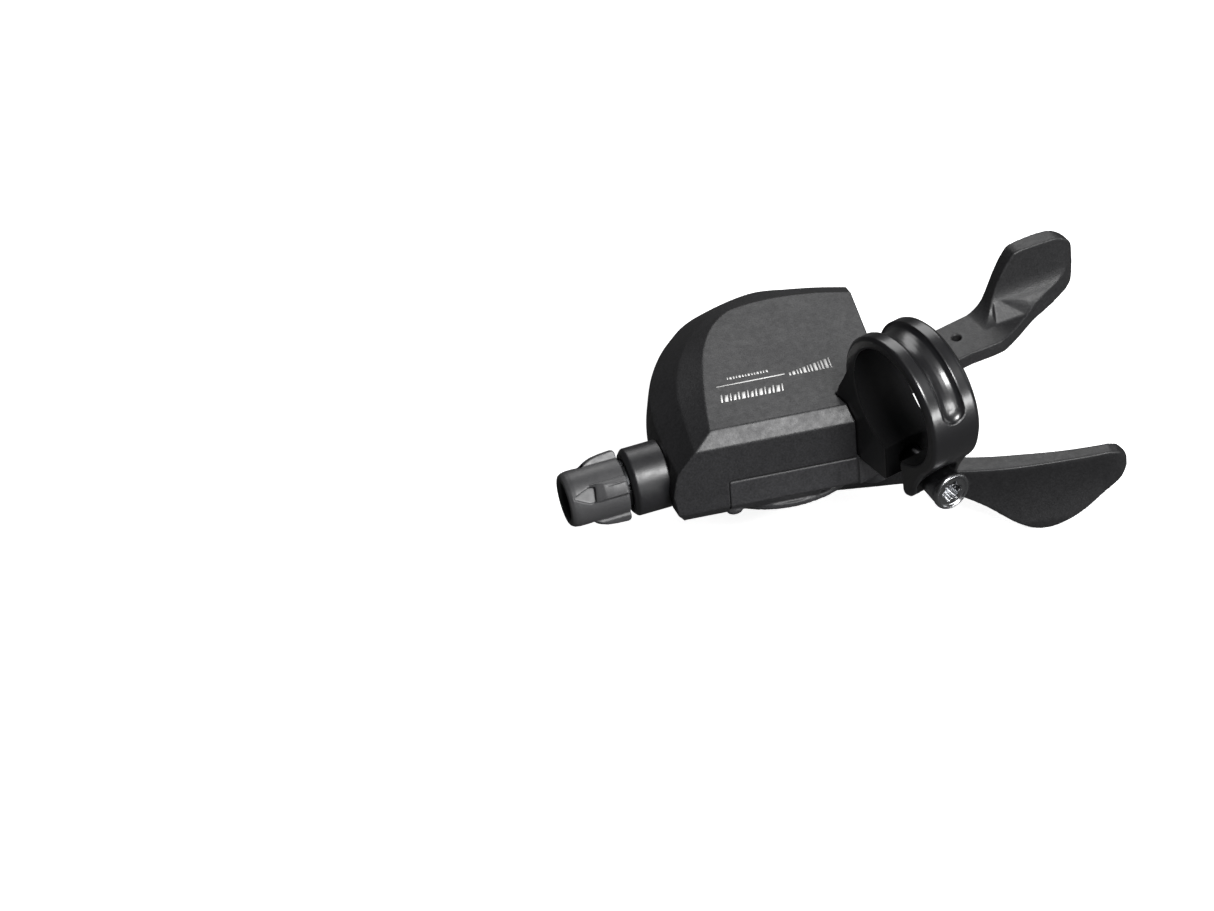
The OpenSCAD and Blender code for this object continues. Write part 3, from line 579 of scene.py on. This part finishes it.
def band():
    x0, x1 = BAND_X0, BAND_X1
    body = lathe(RIM, BAND, 256)
    body = add(body, prism(FOOT + curve(FOOT_BACK, 8) + [(6, 0)], x0, x1, YZ_DRAWING))
    ear = [(-2.1, -9)] + curve(EAR_CURVE, 6) + [(-6, -3)]
    small = inset(ear, 0.6)
    ear_rings = [lift(small, x0), lift(ear, x0 + 0.6), lift(ear, x1 - 0.6), lift(small, x1)]
    body = add(body, loft(ear_rings, YZ_DRAWING))
    slimmer = [(max(r - 0.1, 0), x) for r, x in RIM]
    body = add(body, lathe(slimmer, move(0, 0.8, -0.4) @ BAND, 256))
    body = cut(body, tube(BORE_R, -20, 20, BAND, seg=256))
    # small chamfers of the bore
    for r0, c0, r1, c1 in ((BORE_R - 0.05, x0 + 0.3, BORE_R + 0.55, x0 - 0.3),
                           (BORE_R - 0.05, x1 - 0.15, BORE_R + 0.25, x1 + 0.15)):
        body = cut(body, lathe([(0, c0), (r0, c0), (r1, c1), (0, c1)], BAND, 256))
    near, far = SLIT_Y
    slit = [(near, -5), (far, -5), (far, -30), (near, -30)]
    body = cut(body, prism(slit, -10, 10, YZ_DRAWING))
    groove = lathe(GROOVE + [(r, -x) for r, x in GROOVE[-2::-1]], BAND, 256)
    sector = [(0, 0), (29.9, -2.1), (30, 30), (-30, 30), (-28.3, 10.1)]
    body = cut(
        body,
        common(groove, prism(sector, -10, 10, YZ_DRAWING)),
        ball((0, -BAND_R - 0.05, 0), (2.35, 1.15, 2.35), turn(-20.5, "X")),
        tube(2.2, 0, 20, move(0, 0, CLAMP_SCREW_Z) @ ACROSS_SLIT, seg=96),
        tube(2.1, 0, 15, move(0, 14, CLAMP_SCREW_Z) @ ACROSS_SLIT, seg=96),
        tube(3.9, 0, 9, move(0, -4.3, CLAMP_SCREW_Z) @ ACROSS_SLIT, 5.2, seg=96),
        tube(1.95, -22, -9.5, FIXING, seg=64),
    )
    return soften(body, voxel=0.12, times=4, keep=0.5)


def screw():
    """Clamp screw with a countersunk head and a six-lobed socket."""
    place = move(0, 0, CLAMP_SCREW_Z) @ ACROSS_SLIT
    profile = [(0, -11.5), (1.8, -11.5), (2.0, -11.3), (2.0, 4.4), (2.8, 4.4), (2.95, 4.55),
               (3.45, 9.6), (3.6, 10.1), (3.62, 10.5), (3.52, 10.85), (3.3, 11.02), (3.05, 10.95),
               (2.85, 10.7), (2.7, 10.62), (0, 10.62)]
    socket = []
    for k in range(180):
        t = math.radians(k * 2)
        r = 1.78 + 0.3 * math.cos(6 * t)
        socket.append((r * math.cos(t), r * math.sin(t)))
    body = cut(lathe(profile, place, 160), prism(socket, 8.9, 12, place))
    return soften(body, voxel=0.075, times=2, keep=0.6)


# ---- barrel adjuster, (r, z) profiles in the BARREL frame --------------------
WING_ANGLES = [39 + 90 * k for k in range(4)]


def neck():
    body = lathe([(0, -4.4), (4, -4.4), (4, -0.3), (6.1, -0.3), (6.15, -0.2), (6.15, 5.7),
                  (6.02, 5.95), (5.4, 6.5), (5.2, 6.6), (0, 6.6)], BARREL, 192)
    body = cut(body, tube(3, -9, 11, BARREL), tube(4.5, 2.8, 12.8, BARREL))
    return soften(body, voxel=0.12, times=3, keep=0.5)


def knob():
    core = lathe([(0, 7.25), (4.8, 7.25), (5.05, 7.35), (5.15, 7.6), (5.2, 11), (5.15, 15),
                  (5.07, 16.6), (4.92, 17.4), (4.6, 17.95), (4.25, 18.15), (0, 18.15)],
                 BARREL, 192)
    wing = lathe([(0, 7.35), (6.05, 7.35), (6.35, 7.5), (6.48, 7.85), (6.36, 10), (6.15, 11.6),
                  (5.75, 12.8), (5.2, 13.9), (4.9, 14.5), (0, 14.5)], BARREL, 192)
    blade = [(0, -1.6), (5.2, -1.65), (6.8, -1.4), (6.8, 0.55), (5.5, 1.65), (0, 1.6)]
    recess = [(-1.55, 13.5), (1.1, 13.1), (1.35, 14.2), (0.2, 17.2), (-0.2, 17.2), (-1.55, 14.6)]
    blades = add(*[prism(blade, 7, 20, BARREL @ turn(angle, "Z")) for angle in WING_ANGLES])
    body = add(core, common(wing, blades))
    body = cut(body, tube(3.55, 8.35, 20, BARREL), tube(3.1, 5, 11, BARREL),
               tube(3.55, 17.6, 18.3, BARREL, 4.1))
    for angle in WING_ANGLES:
        place = BARREL @ turn(angle, "Z")
        # pointed recess that runs from the free end up to each wing
        body = cut(body, prism(recess, 4.72, 9, place @ YZ_DRAWING))
        # thin line along the wing's edge
        body = cut(body, tube(0.16, 7, 13.2, place @ move(6.28, 0.75, 0), seg=24))
    return soften(body, voxel=0.1, times=2, keep=0.5)


# ---- thumb lever, in the POD frame -------------------------------------------
HUB_W0, HUB_W1, HUB_R = -24, -20.6, 10.6
ARM_ROOT_R = 10.0
# (u, v) of the blade's edges: near on the -v side, far on the +v side
NEAR = [(36, 3.4), (40, 1.4), (44.7, 0.1), (50, -1.1), (55, -1.85), (63, -2.4), (70, -2.6),
        (73.4, -2.25), (74.8, -1.3)]
FAR = [(74.9, -0.3), (73.6, 0.2), (70, 0.1), (63, 0.6), (55, 1.9), (50, 2.9), (45.5, 4.3),
       (41.6, 6.6), (38, 10)]
# (u, w) of the blade's lower edge
BELLY = [(73.2, -21.1), (74.6, -22.7), (74.9, -24.8), (73.8, -27.2), (70.9, -29.6),
         (66.4, -32.9), (61.4, -35.2), (57.6, -35.2), (53.8, -33.2), (48.9, -29.4),
         (44.3, -26.5), (39.2, -24.6), (34, -24)]


def ramp(value):
    return min(max(value, 0), 1)


def hollow(u, s):
    along = ramp((u - 40) / 10) * ramp((77 - u) / 7)
    return 0.75 * along * math.sin(math.pi * min(s * 1.25, 1.0)) - 0.02


def thin(u, s):
    return 1.25 * ramp((u - 44) / 8) * s ** 1.2 - 0.02


def blade_cutter(edge, depth_at, sign):
    """Swept cutter over a blade's face: depth_at(u, s) at share s of the way down."""
    edge_u, edge_v = zip(*edge)
    w_top, w_low, reach = -21.3, -37, 8
    rings = []
    for u in np.linspace(38, 80, 60):
        v = float(np.interp(u, edge_u, edge_v))
        face = []
        for k in range(25):
            s = k / 24
            face.append((u, v + sign * depth_at(u, s), w_top + (w_low - w_top) * s))
        rings.append(face + [(u, v - sign * reach, w_low), (u, v - sign * reach, w_top)])
    return loft(rings, POD)


def thumb():
    def arm_root(degrees):
        t = math.radians(degrees)
        return tuple(np.array(AXLE_AT) + np.array([ARM_ROOT_R * math.cos(t),
                                                   ARM_ROOT_R * math.sin(t)]))

    hub = tube(HUB_R, HUB_W0, HUB_W1, AXLE, seg=160)
    hub = add(hub, tube(6.1, HUB_W0, -16.15, AXLE))
    arm = [arm_root(250)]
    arm += curve([arm_root(265), (22, 5.6), (30, 4.4), (36, 3.4), (40, 1.4), (46, -0.2)], 8)
    arm += [(46, 4.2)] + curve([(41.6, 6.6), (38, 10), (31, 15.4), arm_root(25)], 8)
    hub = add(hub, prism(arm, HUB_W0, HUB_W1, POD))
    near, far = curve(NEAR, 8), curve(FAR, 8)
    blade = prism(near + far, -40, -20, POD)
    side = [(34, HUB_W1), (71.6, HUB_W1)] + curve(BELLY, 8)
    blade = common(blade, prism(side, -20, 40, POD @ XZ_DRAWING))
    blade = cut(blade, blade_cutter(near, hollow, 1))
    blade = cut(blade, blade_cutter(far[::-1], thin, -1))
    body = add(hub, blade)
    body = cut(body, tube(4.36, -26, -12, AXLE), ring(9.4, 6.5, -22.9, -16.9, AXLE))
    # two flats on the collar
    for s in (-1, 1):
        flat = block((-8, s * 8.2 - 3, -17.25), (8, s * 8.2 + 3, -11), AXLE @ turn(40, "Z"))
        body = cut(body, flat)
    return soften(body, voxel=0.17, times=4, keep=0.5)


# ---- release trigger, in X, Y, Z ---------------------------------------------
ARM_Z1 = -22.6
ARM_Z0 = ARM_Z1 - 2.7
BOSS_W = (-17.1, -14.4)
# (x, y) of the arm
ARM = [(11, 25.8), (22, 26.1), (30, 26.1), (34, 25.6), (36.3, 25.5), (38.1, 26.0), (41.2, 27.3),
       (43.1, 28.2), (45, 29.1), (45, 35.1), (41, 35.3), (26, 35.3), (18, 34.3), (14, 34.2),
       (8.0, 36.0), (5.4, 36.4), (4.2, 29.8)]
# (x, y) of the paddle: front is its -Y side, rear its +Y side
FRONT = [(34, 25.6), (36.3, 25.5), (38.1, 26.0), (41.2, 27.3), (43.1, 28.2), (46.2, 29.6),
         (49, 30.3), (52, 30.6), (55, 30.9)]
REAR = [(55.8, 31.4), (55.8, 32.2), (53.6, 33.7), (50.5, 34.6), (44.5, 35.2), (41, 35.3),
        (34, 35.3)]
# (x, z) of the paddle and of the dish inside its rim
PADDLE = [(34.4, -22.65), (35.5, -22.55), (36.96, -21.96), (38.3, -20.9), (39.4, -19.1),
          (41.4, -15.2), (43.6, -11.9), (44.9, -11.05), (46.7, -10.9), (50, -10.9),
          (52.8, -11.1), (54.6, -12.1), (55.6, -13.7), (55.85, -15.6), (55.7, -18.6),
          (55.2, -21.2), (54.2, -22.8), (52.2, -23.9), (50, -24.8), (47.5, -25.3), (43.5, -25.3)]
DISH = [(38.3, -21.8), (39.2, -20.2), (40.3, -18.5), (41.4, -16.6), (43.4, -13.4), (44.6, -12.2),
        (46, -11.7), (48.5, -11.6), (51.4, -11.75), (53.4, -12.5), (54.6, -13.9), (54.95, -16.5),
        (54.8, -19.5), (54.1, -21.6), (52.0, -22.9), (48, -23.7), (43, -24.0), (40, -24.0),
        (38.4, -23.6), (37.9, -22.7)]
# (y, z) down the scooped front face
SCOOP = [(-5.2, -23.0), (-3.9, -22.6), (-2.7, -22.15), (-1.5, -21.3), (-0.6, -20.0),
         (-0.12, -18.0), (0, -15)]


def behind_scoop(shift):
    """What lies behind the scooped front face."""
    profile = [(-14, -28), (-14, -24.6)] + curve(SCOOP, 30) + [(0, -9), (8, -9), (8, -28)]
    place = move(42, 32.8, 0) @ turn(-8.5, "Z") @ YZ_DRAWING
    return prism([(y + shift, z) for y, z in profile], -20, 20, place)


def trigger():
    body = prism(ARM, ARM_Z0, ARM_Z1)
    pad = prism(curve(FRONT, 24) + curve(REAR, 8), -27, -7)
    pad = common(pad, prism([(34, ARM_Z0)] + curve(PADDLE, 12), -10, 60, XZ_DRAWING))
    pad = common(pad, behind_scoop(0))
    dish = prism(curve(DISH + [DISH[0]], 6)[:-1], 20, 45, XZ_DRAWING)
    pad = cut(pad, cut(dish, behind_scoop(0.42)))
    pin = pod_at(*TRIGGER_PIN)
    finger = [(24.2, 22.8), (18.5, 26.6), (18.5, 27.5), (20.1, 28.0), (26.4, 25.2), (28, 22)]
    body = add(body, pad, tube(3.3, *BOSS_W, pin), prism(finger, *BOSS_W, POD))
    body = cut(body, tube(1.66, -20, -10, pin, seg=64),
               tube(0.85, -30, -20, move(30.25, 31.25, 0), seg=48))
    return soften(body, voxel=0.14, times=7, keep=0.5)


# ---- print on the cover: a line and rows of plain strokes --------------------


def stroke_row(x, bottom, count, widths, gap, tops, slant=0.0):
    """Strokes as (x0, y0, x1, y1, slant); widths and tops repeat along the row."""
    strokes = []
    for k in range(count):
        width = widths[k % len(widths)]
        strokes.append((x, bottom, x + width, tops[k % len(tops)], slant))
        x += width + gap
    return strokes


def marks():
    strokes = [(4.0, 11.17, 16.4, 11.42, 0.0)]
    strokes += stroke_row(x=17.2, bottom=10.6, count=12, widths=(0.28, 0.5, 0.22), gap=0.34,
                          tops=[11.5 + 0.17 * k for k in range(12)])
    strokes += stroke_row(x=3.8, bottom=6.9, count=15, widths=(0.30, 0.62, 0.24, 0.46), gap=0.38,
                          tops=(8.9, 8.65, 8.9, 8.4), slant=0.3)
    strokes += stroke_row(x=6.3, bottom=12.7, count=14, widths=(0.2, 0.38, 0.26), gap=0.27,
                          tops=(13.3,))
    verts, faces = [], []
    for x0, y0, x1, y1, slant in strokes:
        b = len(verts)
        for z in (-0.02, 0.03):
            verts += [(x0, y0, z), (x1, y0, z), (x1 + slant, y1, z), (x0 + slant, y1, z)]
        faces += [[b, b + 1, b + 2, b + 3], [b + 4, b + 5, b + 6, b + 7]]
        faces += [[b + k, b + (k + 1) % 4, b + 4 + (k + 1) % 4, b + 4 + k] for k in range(3)]
        faces.append([b + 3, b, b + 4, b + 7])
    return solid("marks", verts, faces, POD)


# ---- build -------------------------------------------------------------------


def second_skin(piece, skin, wanted):
    """Gives a second material to the faces whose centre, in metres, is wanted."""
    piece.data.materials.append(skin)
    for face in piece.data.polygons:
        if wanted(face.center):
            face.material_index = 1


def in_shaded_bore_or_slit(centre):
    c = centre * 1000
    in_slit = SLIT_Y[0] - 0.2 < c.y < SLIT_Y[1] + 0.2 and c.z < -10
    return math.hypot(c.y, c.z) < BORE_R + 0.08 or in_slit


finish_piece(cover(), "cover_shell", "housing", "upper_cover", CASING)
finish_piece(case(), "case_lower", "housing", "lower_case", LOWER_CASE)
clamp = finish_piece(band(), "clamp_ring", "housing", "clamp_band", CLAMP)
# bore and slit faces get the dull copy of the clamp finish as painted shade
second_skin(clamp, BORE_SHADE_SKIN, in_shaded_bore_or_slit)
bolt = finish_piece(screw(), "clamp_bolt", "housing", "clamp_screw", CHROME)
second_skin(bolt, SHANK_SHADE_STEEL, lambda centre: centre.y > -0.0041)  # the shank is painted dark as shade
finish_piece(neck(), "stop_neck", "housing", "cable_stop", NECK)
finish_piece(knob(), "barrel_knob", "adjuster", "adjuster_knob", KNOB)
finish_piece(thumb(), "lever_blade", "thumb_lever", "thumb_lever", LEVER)
finish_piece(trigger(), "trigger_paddle", "release_trigger", "release_trigger", TRIGGER)
finish_piece(marks(), "cover_marks", "housing", None, PRINT)

# CAD pieces kept as they are, with their materials
CARRIED = {
    "clamp_fixing_screw": DARK_STEEL, "base_plate": PLATE, "upper_plate": PLATE,
    "main_axle": STEEL, "axle_nut": STEEL, "axle_bush": BRONZE, "axle_washer": PLATE,
    "cover_screws": DARK_STEEL, "trigger_pivot_pin": STEEL, "pawl_pivot_pin": STEEL,
    # the detent ring and adjuster bolt are darkened as painted shade for the gap they sit in
    "adjuster_spring": DARK_STEEL, "detent_ring": GAP_SHADE_STEEL, "adjuster_bolt": GAP_SHADE_STEEL,
    "cable_drum": DRUM, "ratchet_wheel": DARK_STEEL, "drum_return_spring": SPRING,
    "lever_carrier": PLATE, "lever_return_spring": SPRING, "drive_pawl_pin": STEEL,
    "drive_pawl": DARK_STEEL, "drive_pawl_spring": SPRING, "trigger_spring": SPRING,
    "holding_pawl": DARK_STEEL, "holding_pawl_spring": SPRING,
}
for name, skin in CARRIED.items():
    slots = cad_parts[name].data.materials
    slots.clear()
    slots.append(skin)

# ---- camera ------------------------------------------------------------------
VIEW_WIDTH = 214.8672566  # mm across the picture
VIEW_RIGHT, VIEW_UP, VIEW_BACK = -53.9646018, -10.3893805, -25  # mm from origin to its centre


def make_camera():
    up, back = Vector((0.3961, 0.5063, 0.7660)), Vector((-0.4105, -0.6475, 0.6420))
    up = (up - back * up.dot(back) / back.dot(back)).normalized()
    back.normalize()
    right = up.cross(back).normalized()
    centre = (right * VIEW_RIGHT + up * VIEW_UP + back * VIEW_BACK) * 0.001
    data = bpy.data.cameras.new("camera")
    data.sensor_fit, data.sensor_width, data.lens = "AUTO", 36, 800
    camera = bpy.data.objects.new("camera", data)
    COLLECTION.objects.link(camera)
    distance = VIEW_WIDTH * 0.001 * data.lens / 36
    eye = [c + b * distance for c, b in zip(centre, back)]
    camera.matrix_world = Matrix((*zip(right, up, back, eye), (0, 0, 0, 1)))
    data.clip_start, data.clip_end = 0.1, 30
    bpy.context.scene.camera = camera


make_camera()
bpy.context.view_layer.update()
vis_lo, vis_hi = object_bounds()

# ---- floor, world, lights ----------------------------------------------------


def floor_material():
    """Pale and glowing to the camera, dim to other rays, clear from below."""
    mat = bpy.data.materials.new("floor_pale")
    node, link = blank_tree(mat)
    output, path = node("ShaderNodeOutputMaterial"), node("ShaderNodeLightPath")
    geometry = node("ShaderNodeNewGeometry")
    pale, dim = node("ShaderNodeBsdfDiffuse"), node("ShaderNodeBsdfDiffuse")
    noise = node("ShaderNodeTexNoise")
    noise.inputs["Scale"].default_value = 30
    grey = node("ShaderNodeMapRange")
    grey.inputs["To Min"].default_value, grey.inputs["To Max"].default_value = 0.80, 0.83
    link(noise.outputs[0], grey.inputs["Value"])
    colour = node("ShaderNodeCombineColor")
    for k in range(3):
        link(grey.outputs[0], colour.inputs[k])
    link(colour.outputs[0], pale.inputs[0])
    dim.inputs[0].default_value = (0.07, 0.07, 0.07, 1)
    clear = node("ShaderNodeBsdfTransparent")
    seen = node("ShaderNodeMixShader")
    link(path.outputs["Is Camera Ray"], seen.inputs[0])
    link(dim.outputs[0], seen.inputs[1])
    glow = node("ShaderNodeEmission")
    glow.inputs[1].default_value = 0.82
    bright = node("ShaderNodeAddShader")
    link(pale.outputs[0], bright.inputs[0])
    link(glow.outputs[0], bright.inputs[1])
    link(bright.outputs[0], seen.inputs[2])
    below = node("ShaderNodeMath")
    below.operation = "MULTIPLY"
    link(path.outputs["Is Camera Ray"], below.inputs[0])
    link(geometry.outputs["Backfacing"], below.inputs[1])
    final = node("ShaderNodeMixShader")
    link(below.outputs[0], final.inputs[0])
    link(seen.outputs[0], final.inputs[1])
    link(clear.outputs[0], final.inputs[2])
    link(final.outputs[0], output.inputs[0])
    return mat


def make_world():
    """White to the camera, nearly dark to everything else."""
    world = bpy.data.worlds.new("studio")
    bpy.context.scene.world = world
    node, link = blank_tree(world)
    output, path = node("ShaderNodeOutputWorld"), node("ShaderNodeLightPath")
    fill, backdrop = node("ShaderNodeBackground"), node("ShaderNodeBackground")
    mix = node("ShaderNodeMixShader")
    for background, strength in ((fill, 0.03), (backdrop, 1.0)):
        background.inputs[0].default_value = (1, 1, 1, 1)
        background.inputs[1].default_value = strength
    link(path.outputs["Is Camera Ray"], mix.inputs[0])
    link(fill.outputs[0], mix.inputs[1])
    link(backdrop.outputs[0], mix.inputs[2])
    link(mix.outputs[0], output.inputs[0])


def softbox(name, toward, distance, width, height, power):
    """Area light that faces the shifter from the given direction; metres and watts."""
    data = bpy.data.lights.new(name, "AREA")
    data.shape, data.size, data.size_y, data.energy = "RECTANGLE", width, height, power
    light = bpy.data.objects.new(name, data)
    COLLECTION.objects.link(light)
    direction = Vector(toward).normalized()
    light.location = Vector((0.0, 0.015, -0.02)) + direction * distance
    light.rotation_mode = "QUATERNION"
    light.rotation_quaternion = direction.to_track_quat("Z", "Y")
    light.visible_camera = False


square = [(-1.6, -1.6, 0), (1.6, -1.6, 0), (1.6, 1.6, 0), (-1.6, 1.6, 0)]
floor = solid("floor", square, [[0, 1, 2, 3]])
floor.location = (0, 0, vis_lo.z - 0.0002)
floor.data.materials.append(floor_material())
make_world()

softbox("key", toward=(-0.02, -0.66, 0.75), distance=0.9, width=0.32, height=0.30, power=10.8)
softbox("back_top", toward=(0.42, 0.65, 0.64), distance=1.0, width=0.7, height=0.5, power=3.4)
softbox("overhead", toward=(0.15, 0.0, 1.0), distance=1.1, width=0.6, height=0.6, power=0.3)
softbox("front_low", toward=(0.30, -0.95, 0.02), distance=1.0, width=0.5, height=0.30, power=8.0)
softbox("right_strip", toward=(0.95, -0.25, 0.25), distance=0.8, width=0.12, height=0.6, power=0.6)

bpy.context.scene.view_settings.view_transform = "Standard"
bpy.context.scene.view_settings.look = "None"
